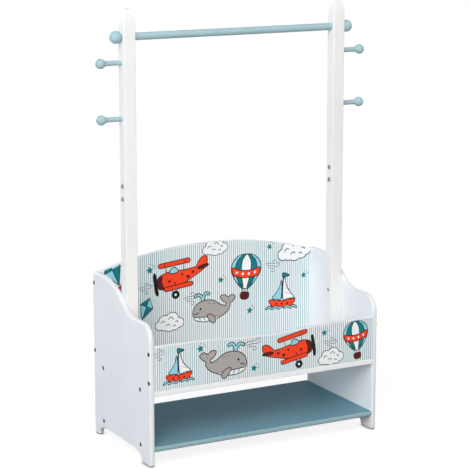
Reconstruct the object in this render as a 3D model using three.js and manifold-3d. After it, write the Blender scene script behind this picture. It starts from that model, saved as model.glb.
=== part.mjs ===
// Free-standing children's coat rack with a toy box below the rail and an open shelf near the floor.
// Units are millimetres. +X runs to the right, +Y to the rear and +Z up. The origin is on the floor,
// midway between the side panels and midway between their front and rear edges.
import * as THREE from 'three';
import { mergeVertices } from 'three/addons/utils/BufferGeometryUtils.js';
import Module from 'manifold-3d';

const wasm = await Module();
wasm.setup();

// Boards
const INNER_WIDTH = 600; // clear width between the side panels
const PANEL_DEPTH = 317; // front edge to rear edge of a side panel
const PANEL_BOARD = 13; // thickness of a side panel
const BOX_BOARD = 13; // thickness of the front and back panels
const SHELF_BOARD = 13; // thickness of the box floor and the bottom shelf
const PANEL_EDGE = 4; // rounding of the side panels' edges
const BOX_EDGE = 1.5; // rounding of the front and back panels' top edges
const SHELF_EDGE = 4; // rounding of the shelf's front edge
const EASED_EDGE = 1.5; // light rounding of the other long edges

// Side panel outline
const SHOULDER_RISE = 159.5; // top of the lower front part above the box floor
const REAR_RISE = 67.5; // top of the tall rear part above the shoulder
const REAR_FLAT = 47; // level stretch of the top edge at the rear
const CREST_SHARE = 0.642; // crest radius as a share of the crest and hollow radii together
const SWEEP_END = 83; // distance from the front edge where the fall has levelled out
const SHOULDER_RADIUS = 42; // front top corner
const REAR_CORNER = 8; // rear top corner
const FOOT_CORNER = 7; // corners of the feet
const FRONT_FOOT = 52; // length of the front foot on the floor
const REAR_FOOT = 28; // length of the rear foot on the floor
const ARCH_HEIGHT = 26; // clear height of the arch between the feet
const ARCH_SWEEP = 58; // length of the curved end of the arch

// Toy box and shelf
const SHELF_UNDERSIDE = 35.5; // height of the bottom shelf above the floor
const FLOOR_UNDERSIDE = 171; // height of the box floor above the floor
const FRONT_PANEL_HEIGHT = 107; // ends of the front panel above the box floor
const DIP_LENGTH = 430; // hollow stretch of the front panel's top edge
const DIP_DEPTH = 9.2; // middle of the hollow below the ends
const BACK_END_DROP = 2; // ends of the back panel below the side panels' rear tops
const BACK_ARCH_RISE = 44.5; // middle of the back panel above its ends

// Posts
const POST_WIDTH = 31; // square section of a post
const POST_SET_BACK = 5; // post centre behind the middle of the side panel
const LOWER_POST_LENGTH = 476; // from the box floor to the top of the lap
const UPPER_POST_LENGTH = 462.5; // from the bottom of the lap to the flat top
const POST_EDGE = 2; // rounding of the long edges
const CAP_HEIGHT = 36; // tapered top of the post
const CAP_TAPER = 5.6; // narrowing of the cap on each side
const CAP_BULGE = 1; // how far the belly of the cap's side lies inside the post's face
const CAP_BELLY = 14.4; // belly of the cap's side below the flat top
const CAP_ROUND = 0.8; // rounding where the cap meets its flat top
const LAP_LENGTH = 62; // overlap of the lower and upper post

// Rail, knobs and pegs
const RAIL_DROP = 65; // axis of the hanging rail below the post's top
const RAIL_DIAMETER = 18;
const KNOB_DIAMETER = 30; // ball on the outside of the post at the rail's end
const KNOB_FLAT = 2.2; // depth of the flat that sits on the post
const UPPER_PEG_DROP = 124.5; // axis of the upper pegs below the post's top
const LOWER_PEG_DROP = 256; // axis of the lower pegs below the post's top
const PEG_SHAFT = 12; // diameter of the shaft
const PEG_BALL = 24; // diameter of the ball end
const PEG_REACH = 52.5; // post face to the centre of the ball
const PEG_FLARE = 17.7; // start of the flare before the ball's centre
const PEG_FLARE_END = 131.8; // degrees round the ball, from its tip, where the flare ends

// Fasteners
const FIT = 0.3; // clearance around every fastener
const SCREW_SHANK = 7; // panel screws into the ends of the boards
const SCREW_HEAD = 10.5;
const SCREW_LENGTH = 50;
const SCREW_HEAD_RIM = 1; // straight rim of a countersunk head
const SCREW_TIP = 3; // pointed end
const SOCKET_SIZE = 4; // hexagon socket across its flats
const SOCKET_DEPTH = 2.5;
const BOX_SCREW_INSET = 20; // from the front panel's bottom edge
const BOX_SCREW_DROP = 17.5; // below the front panel's ends
const BACK_SCREW_INSET = 28; // from the back panel's bottom edge and the side panel's rear top
const SHELF_SCREW_INSET = 54; // from the side panel's front and rear edges
const POST_SCREW_SHANK = 5; // post screws into the side panel
const POST_SCREW_BITE = 9; // depth of the post screws in the side panel
const LOWER_POST_SCREW_RISE = 32; // above the box floor
const UPPER_POST_SCREW_RISE = 146;
const BOLT_SHANK = 6; // lap bolts and rail studs
const BOLT_INSET = 15.5; // lap bolts from the ends of the lap
const BOLT_END_GAP = 5; // end of a lap bolt short of the post's inner face
const BOLT_LIP = 1.7; // head of a lap bolt or sleeve nut beyond the sleeve
const BOLT_HEAD_RIM = 1.2; // straight rim of the head
const BOLT_HEAD_DOME = 1.2; // domed part of the head above its rim
const BOLT_HEAD_SLOPE = 2; // narrowing of the head over its dome
const BOLT_SOCKET_DEPTH = 1.25;
const SLEEVE_WALL = 1; // sleeve nut around the lap bolt
const SLEEVE_GAP = 0.5; // end of the sleeve short of the outer half of the lap
const SLEEVE_BASE = 1; // metal left under the sleeve's bore
const STUD_BITE = 11; // rail stud inside the rail and inside the knob
const PEG_STUD = 5; // threaded stud that holds a peg
const PEG_STUD_BITE = 18; // depth of the peg stud in the peg and in the post

// Fineness of the round shapes
const SCREW_SIDES = 10;
const ROUND_SIDES = 16;
const SWEEP_STEPS = 4;
const ARCH_STEPS = 16;
const DIP_STEPS = 6;
const CAP_STEPS = 4;
const KNOB_STEPS = 8;
const BALL_STEPS = 6;
const FLARE_STEPS = 2;
const EDGE_STEPS = 2;
const CORNER_STEPS = 2;

// Places that follow from the sizes above
const halfWidth = INNER_WIDTH / 2;
const halfDepth = PANEL_DEPTH / 2;
const panelOuter = halfWidth + PANEL_BOARD;
const floorTop = FLOOR_UNDERSIDE + SHELF_BOARD;
const shoulderHeight = floorTop + SHOULDER_RISE;
const rearHeight = shoulderHeight + REAR_RISE;
const postInner = halfWidth - POST_WIDTH;
const postHalf = POST_WIDTH / 2;
const lapPlane = halfWidth - postHalf;
const lapTop = floorTop + LOWER_POST_LENGTH;
const lapBottom = lapTop - LAP_LENGTH;
const postTop = lapBottom + UPPER_POST_LENGTH;
const railHeight = postTop - RAIL_DROP;
const pegHeights = { upper: postTop - UPPER_PEG_DROP, lower: postTop - LOWER_PEG_DROP };
const lapBoltHeights = { lower: lapBottom + BOLT_INSET, upper: lapTop - BOLT_INSET };
const postScrewHeights = { lower: floorTop + LOWER_POST_SCREW_RISE, upper: floorTop + UPPER_POST_SCREW_RISE };
const postScrewLength = POST_WIDTH + POST_SCREW_BITE;
const boltLength = POST_WIDTH - BOLT_END_GAP;
const sleeveLength = postHalf - SLEEVE_GAP;
const sleeveBore = BOLT_SHANK / 2 + FIT;
const sleeveRadius = sleeveBore + SLEEVE_WALL;
const boltHeadHeight = BOLT_HEAD_RIM + BOLT_HEAD_DOME;
const sides = { left: -1, right: 1 };
const boardScrews = {
  back_panel: {
    lower: [halfDepth - BOX_BOARD / 2, floorTop + BACK_SCREW_INSET],
    upper: [halfDepth - BOX_BOARD / 2, rearHeight - BACK_SCREW_INSET],
  },
  front_panel: {
    lower: [BOX_BOARD / 2 - halfDepth, floorTop + BOX_SCREW_INSET],
    upper: [BOX_BOARD / 2 - halfDepth, floorTop + FRONT_PANEL_HEIGHT - BOX_SCREW_DROP],
  },
  box_floor: {
    front: [SHELF_SCREW_INSET - halfDepth, FLOOR_UNDERSIDE + SHELF_BOARD / 2],
    rear: [halfDepth - SHELF_SCREW_INSET, FLOOR_UNDERSIDE + SHELF_BOARD / 2],
  },
  bottom_shelf: {
    front: [SHELF_SCREW_INSET - halfDepth, SHELF_UNDERSIDE + SHELF_BOARD / 2],
    rear: [halfDepth - SHELF_SCREW_INSET, SHELF_UNDERSIDE + SHELF_BOARD / 2],
  },
};

// Finishes
const whitePaint = { color: 0xe6e9ef, roughness: 0.45, metalness: 0 };
const postPaint = { color: 0xeeeeec, roughness: 0.45, metalness: 0 };
const bluePaint = { color: 0x8fb2c1, roughness: 0.4, metalness: 0 };
const printedBoard = { color: 0xcfdde5, roughness: 0.35, metalness: 0 };
const darkSteel = { color: 0x4a4c50, roughness: 0.45, metalness: 0.9 };
const platedSteel = { color: 0xa9abb0, roughness: 0.35, metalness: 0.9 };

// Solids: joining and cutting

function toSolid(geometry) {
  geometry.deleteAttribute('normal');
  geometry.deleteAttribute('uv');
  const merged = mergeVertices(geometry);
  const vertProperties = new Float32Array(merged.attributes.position.array);
  const triVerts = new Uint32Array(merged.index.array);
  return new wasm.Manifold(new wasm.Mesh({ numProp: 3, vertProperties, triVerts }));
}

function toGeometry(solid) {
  const mesh = solid.getMesh();
  const geometry = new THREE.BufferGeometry();
  geometry.setAttribute('position', new THREE.BufferAttribute(new Float32Array(mesh.vertProperties), 3));
  geometry.setIndex(new THREE.BufferAttribute(new Uint32Array(mesh.triVerts), 1));
  geometry.computeVertexNormals();
  return geometry;
}

function cut(solid, cutters) {
  return cutters.reduce((left, cutter) => left.subtract(cutter), solid);
}

// Box between two corners
function block(low, high) {
  const size = high.map((value, axis) => value - low[axis]);
  const geometry = new THREE.BoxGeometry(...size);
  geometry.translate(...low.map((value, axis) => value + size[axis] / 2));
  return toSolid(geometry);
}

// Turns a profile of [radius, distance] points about a line parallel to X.
// The distance runs from start towards the side given by sign, which is 1 or -1.
function turned(profile, start, sign, y, z, steps) {
  const points = profile.map(([radius, distance]) => new THREE.Vector2(radius, distance));
  const geometry = new THREE.LatheGeometry(points, steps);
  geometry.rotateZ(-sign * Math.PI / 2);
  geometry.translate(sign * start, y, z);
  return toSolid(geometry);
}

function rod(radius, low, high, sign, y, z, steps) {
  const length = high - low;
  return turned([[0, 0], [radius, 0], [radius, length], [0, length]], low, sign, y, z, steps);
}

// Extrudes an outline drawn in the Y-Z plane along X
function alongX(outline, low, high, edge, arcSteps) {
  const bevel = { bevelEnabled: edge > 0, bevelThickness: edge, bevelSize: edge, bevelOffset: -edge };
  const options = { ...bevel, bevelSegments: EDGE_STEPS, curveSegments: arcSteps };
  const geometry = new THREE.ExtrudeGeometry(outline, { depth: high - low - 2 * edge, ...options });
  const toWorld = new THREE.Matrix4().makeBasis(
    new THREE.Vector3(0, 1, 0),
    new THREE.Vector3(0, 0, 1),
    new THREE.Vector3(1, 0, 0),
  );
  geometry.applyMatrix4(toWorld);
  geometry.translate(low + edge, 0, 0);
  return toSolid(geometry);
}

// Extrudes an outline drawn in the X-Z plane along Y
function alongY(outline, low, high, edge, arcSteps) {
  const bevel = { bevelEnabled: edge > 0, bevelThickness: edge, bevelSize: edge, bevelOffset: -edge };
  const options = { ...bevel, bevelSegments: EDGE_STEPS, curveSegments: arcSteps };
  const geometry = new THREE.ExtrudeGeometry(outline, { depth: high - low - 2 * edge, ...options });
  geometry.rotateX(Math.PI / 2);
  geometry.translate(0, high - edge, 0);
  return toSolid(geometry);
}

// Rectangle with its own rounding at each corner: low-low, high-low, high-high and low-high
function roundedRectangle([x0, y0], [x1, y1], [r00, r10, r11, r01]) {
  const shape = new THREE.Shape();
  const quarter = Math.PI / 2;
  shape.moveTo(x0 + r00, y0);
  shape.lineTo(x1 - r10, y0);
  shape.absarc(x1 - r10, y0 + r10, r10, -quarter, 0);
  shape.lineTo(x1, y1 - r11);
  shape.absarc(x1 - r11, y1 - r11, r11, 0, quarter);
  shape.lineTo(x0 + r01, y1);
  shape.absarc(x0 + r01, y1 - r01, r01, quarter, 2 * quarter);
  shape.lineTo(x0, y0 + r00);
  shape.absarc(x0 + r00, y0 + r00, r00, 2 * quarter, 3 * quarter);
  return shape;
}

// Fastener profiles: [radius, distance from the tip]

function screwProfile(shank, head, length, gap) {
  const headDepth = (head - shank) / 2 + SCREW_HEAD_RIM;
  return [
    [0, -gap],
    [shank / 4 + gap, -gap],
    [shank / 2 + gap, SCREW_TIP],
    [shank / 2 + gap, length - headDepth],
    [head / 2 + gap, length - SCREW_HEAD_RIM],
    [head / 2 + gap, length + gap],
    [0, length + gap],
  ];
}

function hexSocket(low, high, sign, y, z) {
  const radius = SOCKET_SIZE / Math.sqrt(3);
  return rod(radius, low, high, sign, y, z, 6);
}

// Holes for the fasteners, cut wherever a fastener passes

function boardScrewHole(sign, [y, z]) {
  const profile = screwProfile(SCREW_SHANK, SCREW_HEAD, SCREW_LENGTH, FIT);
  return turned(profile, panelOuter - SCREW_LENGTH, sign, y, z, SCREW_SIDES);
}

function postScrewHole(sign, z) {
  const profile = screwProfile(POST_SCREW_SHANK, SCREW_HEAD, postScrewLength, FIT);
  return turned(profile, -postInner - postScrewLength, -sign, POST_SET_BACK, z, SCREW_SIDES);
}

function lapBoltHole(sign, z) {
  const sleeve = rod(sleeveRadius + FIT, postInner - FIT, lapPlane, sign, POST_SET_BACK, z, SCREW_SIDES);
  const shank = rod(sleeveBore, postInner, halfWidth + FIT, sign, POST_SET_BACK, z, SCREW_SIDES);
  return sleeve.add(shank);
}

function studHole(diameter, low, high, sign, z) {
  return rod(diameter / 2 + FIT, low - FIT, high + FIT, sign, POST_SET_BACK, z, SCREW_SIDES);
}

const railStudHole = (sign) =>
  studHole(BOLT_SHANK, postInner - STUD_BITE, halfWidth + STUD_BITE, sign, railHeight);
const pegStudHole = (sign, z) =>
  studHole(PEG_STUD, halfWidth - PEG_STUD_BITE, halfWidth + PEG_STUD_BITE, sign, z);

// Boards

function sidePanelOutline() {
  const front = -halfDepth;
  const rear = halfDepth;
  const quarter = Math.PI / 2;
  const archFront = front + FRONT_FOOT;
  const archRear = rear - REAR_FOOT;
  const crestY = rear - REAR_FLAT;
  const sweepY = front + SWEEP_END;
  const bend = 2 * Math.atan2(REAR_RISE, crestY - sweepY);
  const bothRadii = (crestY - sweepY) / Math.sin(bend);
  const crestRadius = CREST_SHARE * bothRadii;
  const hollowRadius = bothRadii - crestRadius;
  const shape = new THREE.Shape();
  shape.moveTo(front + FOOT_CORNER, 0);
  shape.lineTo(archFront, 0);
  shape.absellipse(archFront + ARCH_SWEEP, 0, ARCH_SWEEP, ARCH_HEIGHT, 2 * quarter, quarter, true);
  shape.lineTo(archRear - ARCH_SWEEP, ARCH_HEIGHT);
  shape.absellipse(archRear - ARCH_SWEEP, 0, ARCH_SWEEP, ARCH_HEIGHT, quarter, 0, true);
  shape.lineTo(rear - FOOT_CORNER, 0);
  shape.absarc(rear - FOOT_CORNER, FOOT_CORNER, FOOT_CORNER, -quarter, 0);
  shape.lineTo(rear, rearHeight - REAR_CORNER);
  shape.absarc(rear - REAR_CORNER, rearHeight - REAR_CORNER, REAR_CORNER, 0, quarter);
  shape.lineTo(crestY, rearHeight);
  shape.absarc(crestY, rearHeight - crestRadius, crestRadius, quarter, quarter + bend);
  shape.absarc(sweepY, shoulderHeight + hollowRadius, hollowRadius, bend - quarter, -quarter, true);
  shape.lineTo(front + SHOULDER_RADIUS, shoulderHeight);
  shape.absarc(
    front + SHOULDER_RADIUS, shoulderHeight - SHOULDER_RADIUS, SHOULDER_RADIUS, quarter, 2 * quarter,
  );
  shape.lineTo(front, FOOT_CORNER);
  shape.absarc(front + FOOT_CORNER, FOOT_CORNER, FOOT_CORNER, 2 * quarter, 3 * quarter);
  return shape;
}

function sidePanel(sign) {
  const low = sign > 0 ? halfWidth : -panelOuter;
  const board = alongX(sidePanelOutline(), low, low + PANEL_BOARD, PANEL_EDGE, SWEEP_STEPS);
  const holes = Object.values(boardScrews).flatMap((pair) => Object.values(pair));
  return cut(board, [
    ...holes.map((place) => boardScrewHole(sign, place)),
    ...Object.values(postScrewHeights).map((z) => postScrewHole(sign, z)),
  ]);
}

function withScrewHoles(board, name) {
  const places = Object.values(boardScrews[name]);
  return cut(board, Object.values(sides).flatMap((sign) => places.map((place) => boardScrewHole(sign, place))));
}

// A front or back panel is drawn larger on its straight edges and trimmed square there,
// so that only its top edge is rounded.
function boxPanel(topEdge, low, high, arcSteps) {
  const spare = 2 * BOX_EDGE;
  const shape = new THREE.Shape();
  shape.moveTo(-halfWidth - spare, floorTop - spare);
  shape.lineTo(halfWidth + spare, floorTop - spare);
  topEdge(shape, halfWidth + spare);
  const board = alongY(shape, low, low + BOX_BOARD, BOX_EDGE, arcSteps);
  return board.intersect(block([-halfWidth, low, floorTop], [halfWidth, low + BOX_BOARD, high]));
}

// The arch of the back panel is one arc from end to end
function backPanel() {
  const ends = rearHeight - BACK_END_DROP;
  const radius = (halfWidth ** 2 + BACK_ARCH_RISE ** 2) / (2 * BACK_ARCH_RISE);
  const centre = ends + BACK_ARCH_RISE - radius;
  const arch = (shape, reach) => {
    const start = Math.atan2(Math.sqrt(radius ** 2 - reach ** 2), reach);
    shape.absarc(0, centre, radius, start, Math.PI - start);
  };
  const board = boxPanel(arch, halfDepth - BOX_BOARD, ends + BACK_ARCH_RISE, ARCH_STEPS);
  return withScrewHoles(board, 'back_panel');
}

// The top edge of the front panel is level at its ends and dips to its middle in even bends
function frontPanel() {
  const quarter = Math.PI / 2;
  const ends = floorTop + FRONT_PANEL_HEIGHT;
  const bend = 2 * Math.atan2(DIP_DEPTH, DIP_LENGTH / 2);
  const radius = DIP_LENGTH / 4 / Math.sin(bend);
  const dip = (shape, reach) => {
    shape.lineTo(reach, ends);
    shape.absarc(DIP_LENGTH / 2, ends - radius, radius, quarter, quarter + bend);
    shape.absarc(0, ends - DIP_DEPTH + radius, radius, bend - quarter, -bend - quarter, true);
    shape.absarc(-DIP_LENGTH / 2, ends - radius, radius, quarter - bend, quarter);
    shape.lineTo(-reach, ends);
  };
  return withScrewHoles(boxPanel(dip, -halfDepth, ends, DIP_STEPS), 'front_panel');
}

function level(name, underside, frontEdge) {
  const section = roundedRectangle(
    [-halfDepth, underside],
    [halfDepth, underside + SHELF_BOARD],
    [frontEdge, EASED_EDGE, EASED_EDGE, frontEdge],
  );
  return withScrewHoles(alongX(section, -halfWidth, halfWidth, 0, CORNER_STEPS), name);
}

// Posts

// Outline of a post whose straight sides curve in to a narrower flat top
function postOutline(centre, low) {
  const shape = new THREE.Shape();
  const base = postTop - CAP_HEIGHT;
  const belly = postTop - CAP_BELLY;
  const neck = postHalf - CAP_TAPER;
  const waist = postHalf - CAP_BULGE;
  shape.moveTo(centre - postHalf, low);
  shape.lineTo(centre + postHalf, low);
  shape.lineTo(centre + postHalf, base);
  shape.quadraticCurveTo(centre + waist, belly, centre + neck, postTop - CAP_ROUND);
  shape.lineTo(centre + neck - CAP_ROUND, postTop);
  shape.lineTo(centre - neck + CAP_ROUND, postTop);
  shape.lineTo(centre - neck, postTop - CAP_ROUND);
  shape.quadraticCurveTo(centre - waist, belly, centre - postHalf, base);
  return shape;
}

function wholePost(sign) {
  const x = sign * lapPlane;
  const y = POST_SET_BACK;
  const spare = POST_WIDTH;
  const rounding = [POST_EDGE, POST_EDGE, POST_EDGE, POST_EDGE];
  const section = roundedRectangle([x - postHalf, y - postHalf], [x + postHalf, y + postHalf], rounding);
  const options = { depth: postTop - floorTop, bevelEnabled: false, curveSegments: CORNER_STEPS };
  const geometry = new THREE.ExtrudeGeometry(section, options);
  geometry.translate(0, 0, floorTop);
  const acrossDepth = alongY(postOutline(x, floorTop - spare), y - spare, y + spare, 0, CAP_STEPS);
  const acrossWidth = alongX(postOutline(y, floorTop - spare), x - spare, x + spare, 0, CAP_STEPS);
  return toSolid(geometry).intersect(acrossDepth).intersect(acrossWidth);
}

// The halves of the lap meet on the plane through the post's middle.
// The upper post keeps the outer half and the lower post the inner half.
function lapHalf(sign, inner) {
  const xs = inner ? [sign * postInner, sign * lapPlane] : [sign * lapPlane, sign * halfWidth];
  const ys = [POST_SET_BACK - postHalf, POST_SET_BACK + postHalf];
  return block([Math.min(...xs), ys[0], lapBottom], [Math.max(...xs), ys[1], lapTop]);
}

function heightRange(sign, low, high) {
  const xs = [sign * postInner, sign * halfWidth];
  const ys = [POST_SET_BACK - postHalf, POST_SET_BACK + postHalf];
  return block([Math.min(...xs), ys[0], low], [Math.max(...xs), ys[1], high]);
}

function lowerPost(sign) {
  const space = heightRange(sign, floorTop, lapBottom).add(lapHalf(sign, true));
  return cut(wholePost(sign).intersect(space), [
    ...Object.values(postScrewHeights).map((z) => postScrewHole(sign, z)),
    ...Object.values(lapBoltHeights).map((z) => lapBoltHole(sign, z)),
  ]);
}

function upperPost(sign) {
  const space = heightRange(sign, lapTop, postTop).add(lapHalf(sign, false));
  return cut(wholePost(sign).intersect(space), [
    ...Object.values(lapBoltHeights).map((z) => lapBoltHole(sign, z)),
    ...Object.values(pegHeights).map((z) => pegStudHole(sign, z)),
    railStudHole(sign),
  ]);
}

// Rail, knobs and pegs

function hangingRail() {
  const bar = rod(RAIL_DIAMETER / 2, -postInner, postInner, 1, POST_SET_BACK, railHeight, ROUND_SIDES);
  return cut(bar, Object.values(sides).map(railStudHole));
}

function knob(sign) {
  const radius = KNOB_DIAMETER / 2;
  const seat = radius - KNOB_FLAT;
  const from = Math.acos(-seat / radius);
  const profile = [[0, 0]];
  for (let i = 0; i < KNOB_STEPS; i += 1) {
    const angle = from * (1 - i / KNOB_STEPS);
    profile.push([radius * Math.sin(angle), seat + radius * Math.cos(angle)]);
  }
  profile.push([0, seat + radius]);
  const ball = turned(profile, halfWidth, sign, POST_SET_BACK, railHeight, ROUND_SIDES);
  return ball.subtract(railStudHole(sign));
}

// A straight shaft that flares into a ball
function peg(sign, z) {
  const shaft = PEG_SHAFT / 2;
  const radius = PEG_BALL / 2;
  const from = THREE.MathUtils.degToRad(PEG_FLARE_END);
  const start = new THREE.Vector2(shaft, PEG_REACH - PEG_FLARE);
  const meet = new THREE.Vector2(radius * Math.sin(from), PEG_REACH + radius * Math.cos(from));
  const bend = new THREE.Vector2(shaft, meet.y + (meet.x - shaft) * Math.tan(from));
  const flare = new THREE.QuadraticBezierCurve(start, bend, meet);
  const profile = [[0, 0], [shaft, 0]];
  flare.getPoints(FLARE_STEPS).forEach((point) => profile.push([point.x, point.y]));
  for (let i = 1; i < BALL_STEPS; i += 1) {
    const angle = from * (1 - i / BALL_STEPS);
    profile.push([radius * Math.sin(angle), PEG_REACH + radius * Math.cos(angle)]);
  }
  profile.push([0, PEG_REACH + radius]);
  return turned(profile, halfWidth, sign, POST_SET_BACK, z, ROUND_SIDES).subtract(pegStudHole(sign, z));
}

// Fasteners

function boardScrew(sign, [y, z]) {
  const profile = screwProfile(SCREW_SHANK, SCREW_HEAD, SCREW_LENGTH, 0);
  const body = turned(profile, panelOuter - SCREW_LENGTH, sign, y, z, SCREW_SIDES);
  return body.subtract(hexSocket(panelOuter - SOCKET_DEPTH, panelOuter + FIT, sign, y, z));
}

function postScrew(sign, z) {
  const profile = screwProfile(POST_SCREW_SHANK, SCREW_HEAD, postScrewLength, 0);
  const body = turned(profile, -postInner - postScrewLength, -sign, POST_SET_BACK, z, SCREW_SIDES);
  return body.subtract(hexSocket(-postInner - SOCKET_DEPTH, -postInner + FIT, -sign, POST_SET_BACK, z));
}

// Head of a lap bolt or sleeve nut, seated at the given distance from the shank's end
function domedHead(length) {
  const radius = sleeveRadius + BOLT_LIP;
  return [
    [radius, length],
    [radius, length + BOLT_HEAD_RIM],
    [radius - BOLT_HEAD_SLOPE, length + boltHeadHeight],
    [0, length + boltHeadHeight],
  ];
}

function lapBolt(sign, z) {
  const shank = BOLT_SHANK / 2;
  const profile = [[0, 0], [shank, 0], [shank, boltLength], ...domedHead(boltLength)];
  const body = turned(profile, halfWidth - boltLength, sign, POST_SET_BACK, z, SCREW_SIDES);
  const top = halfWidth + boltHeadHeight;
  return body.subtract(hexSocket(top - BOLT_SOCKET_DEPTH, top + FIT, sign, POST_SET_BACK, z));
}

// The sleeve's bore takes the bolt's end
function sleeveNut(sign, z) {
  const depth = sleeveLength - SLEEVE_BASE;
  const bore = [[0, depth], [sleeveBore, depth], [sleeveBore, 0]];
  const wall = [[sleeveRadius, 0], [sleeveRadius, sleeveLength]];
  const profile = [...bore, ...wall, ...domedHead(sleeveLength)];
  const body = turned(profile, -postInner - sleeveLength, -sign, POST_SET_BACK, z, SCREW_SIDES);
  const top = boltHeadHeight - postInner;
  return body.subtract(hexSocket(top - BOLT_SOCKET_DEPTH, top + FIT, -sign, POST_SET_BACK, z));
}

const railStud = (sign) => rod(
  BOLT_SHANK / 2, postInner - STUD_BITE, halfWidth + STUD_BITE, sign, POST_SET_BACK, railHeight, SCREW_SIDES,
);

const pegStud = (sign, z) => rod(
  PEG_STUD / 2, halfWidth - PEG_STUD_BITE, halfWidth + PEG_STUD_BITE, sign, POST_SET_BACK, z, SCREW_SIDES,
);

// Assembly

const coatRack = new THREE.Group();

function addPiece(name, solid, finish) {
  const mesh = new THREE.Mesh(toGeometry(solid), new THREE.MeshStandardMaterial(finish));
  mesh.name = name;
  coatRack.add(mesh);
}

addPiece('back_panel', backPanel(), printedBoard);
addPiece('front_panel', frontPanel(), printedBoard);
addPiece('box_floor', level('box_floor', FLOOR_UNDERSIDE, EASED_EDGE), whitePaint);
addPiece('bottom_shelf', level('bottom_shelf', SHELF_UNDERSIDE, SHELF_EDGE), bluePaint);
addPiece('hanging_rail', hangingRail(), bluePaint);

for (const [side, sign] of Object.entries(sides)) {
  addPiece(`${side}_side_panel`, sidePanel(sign), whitePaint);
  addPiece(`${side}_lower_post`, lowerPost(sign), postPaint);
  addPiece(`${side}_upper_post`, upperPost(sign), postPaint);
  addPiece(`${side}_rail_knob`, knob(sign), bluePaint);
  addPiece(`${side}_rail_stud`, railStud(sign), platedSteel);
  for (const [place, z] of Object.entries(pegHeights)) {
    addPiece(`${side}_${place}_peg`, peg(sign, z), bluePaint);
    addPiece(`${side}_${place}_peg_stud`, pegStud(sign, z), platedSteel);
  }
  for (const [place, z] of Object.entries(lapBoltHeights)) {
    addPiece(`${side}_${place}_lap_bolt`, lapBolt(sign, z), platedSteel);
    addPiece(`${side}_${place}_sleeve_nut`, sleeveNut(sign, z), platedSteel);
  }
  for (const [place, z] of Object.entries(postScrewHeights)) {
    addPiece(`${side}_${place}_post_screw`, postScrew(sign, z), darkSteel);
  }
  for (const [board, places] of Object.entries(boardScrews)) {
    for (const [place, spot] of Object.entries(places)) {
      addPiece(`${side}_${board}_${place}_screw`, boardScrew(sign, spot), darkSteel);
    }
  }
}

export default coatRack;
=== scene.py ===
import math

import bmesh
import bpy
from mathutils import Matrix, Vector
from mathutils.geometry import delaunay_2d_cdt


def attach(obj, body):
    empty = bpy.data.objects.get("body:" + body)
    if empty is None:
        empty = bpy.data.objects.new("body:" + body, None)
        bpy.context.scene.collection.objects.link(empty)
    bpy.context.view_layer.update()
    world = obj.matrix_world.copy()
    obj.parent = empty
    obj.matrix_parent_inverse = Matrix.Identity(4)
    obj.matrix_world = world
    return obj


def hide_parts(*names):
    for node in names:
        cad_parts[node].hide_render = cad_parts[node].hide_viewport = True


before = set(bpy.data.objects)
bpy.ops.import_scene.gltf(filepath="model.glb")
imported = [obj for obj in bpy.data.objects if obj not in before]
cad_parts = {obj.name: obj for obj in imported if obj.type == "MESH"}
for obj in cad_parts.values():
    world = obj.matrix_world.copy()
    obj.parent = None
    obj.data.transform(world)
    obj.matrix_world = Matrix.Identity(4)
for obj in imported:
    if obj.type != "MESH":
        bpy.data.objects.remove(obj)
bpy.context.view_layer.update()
scene = bpy.context.scene

# Camera
# The rack stands turned a little, so that its left side panel shows, and is seen from
# slightly above through a long lens.
camera = bpy.data.objects.new("camera", bpy.data.cameras.new("camera"))
camera.data.sensor_width = 36
camera.data.lens = 139.55
camera.location = (-2.0783, -3.8357, 1.4045)
camera.rotation_euler = (math.radians(78.27), 0, math.radians(-28.43))
scene.collection.objects.link(camera)
scene.camera = camera


# Side panels
# Two 13 mm fibreboard panels, routed to a swept outline with a foot at each end. Every edge is
# rounded over, and satin white paint is sprayed all round. They carry the boards and the posts.
MM = 0.001  # lengths from here on are millimetres, and become metres where a mesh is made
HALF_WIDTH = 300  # clear width between the panels, halved
HALF_DEPTH = 158.5
BOARD = 13  # thickness of every board
PANEL_OUTER = HALF_WIDTH + BOARD
PANEL_ROUNDING = 4.6
SHOULDER = 343.5  # height of the low front part
REAR_TOP = 411  # height of the tall rear part
WHITE = (240, 241, 242)
WORN_WHITE = (214, 212, 206)


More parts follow.
